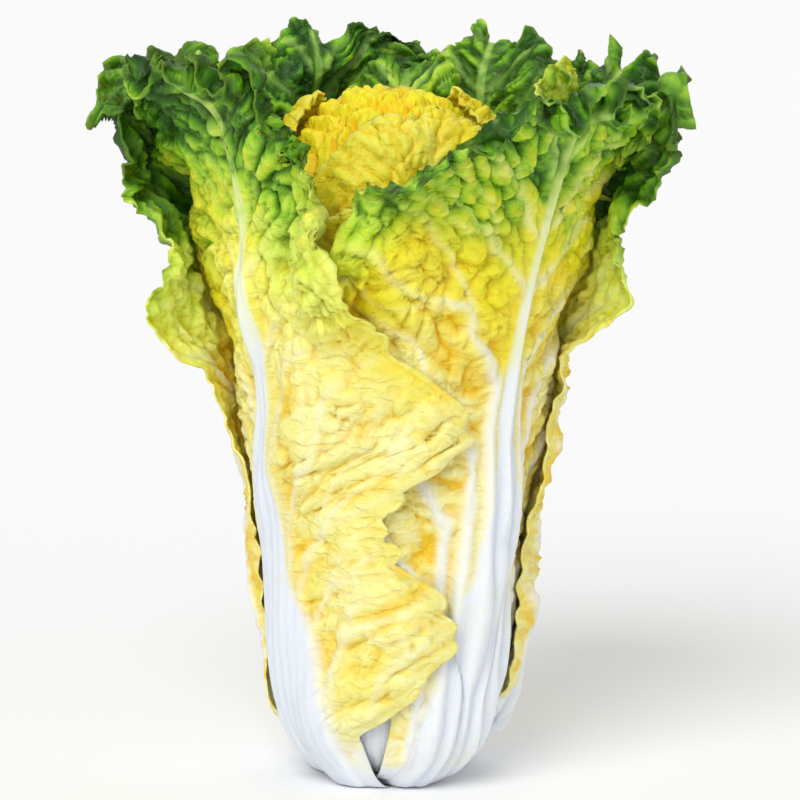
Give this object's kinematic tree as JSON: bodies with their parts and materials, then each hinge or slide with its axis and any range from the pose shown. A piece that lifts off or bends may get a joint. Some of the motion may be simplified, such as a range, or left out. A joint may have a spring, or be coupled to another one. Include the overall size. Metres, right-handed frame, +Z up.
{
  "type": "napa cabbage",
  "caption": "Whole napa cabbage standing on its trimmed base: white ribbed leaf bases, a crinkled yellow heart and flared green ruffled leaf tops.",
  "frame": {"origin": "centre of the flat cut face under the stump", "axes": "+Z up along the head from the cut base to the leaf tips; -Y is the front, where the overlapping front leaves show; +X is to the right seen from the front"},
  "size_m": [0.2387, 0.2145, 0.2981],
  "materials": {
    "stump": "cut, matte, off-white",
    "heart": "crinkled, satin, bright yellow",
    "inner_leaf": "crinkled, satin, yellow-green with white rib",
    "front_leaf": "crinkled, satin, white rib, cream-yellow blade, green rim",
    "outer_leaf": "blistered, satin, dark green with white rib"
  },
  "bodies": {
    "root": {"stump": "stump", "heart": "heart", "heart_leaf_front": "heart", "heart_leaf_left": "heart", "heart_leaf_right": "heart", "inner_leaf_back": "inner_leaf", "inner_leaf_right": "inner_leaf", "inner_leaf_left": "inner_leaf", "front_leaf_inner": "inner_leaf", "back_leaf_right": "outer_leaf", "back_leaf_left": "outer_leaf", "front_leaf_right": "front_leaf", "front_leaf_left": "front_leaf", "outer_leaf_right": "outer_leaf", "outer_leaf_left": "outer_leaf"}
  },
  "joints": []
}
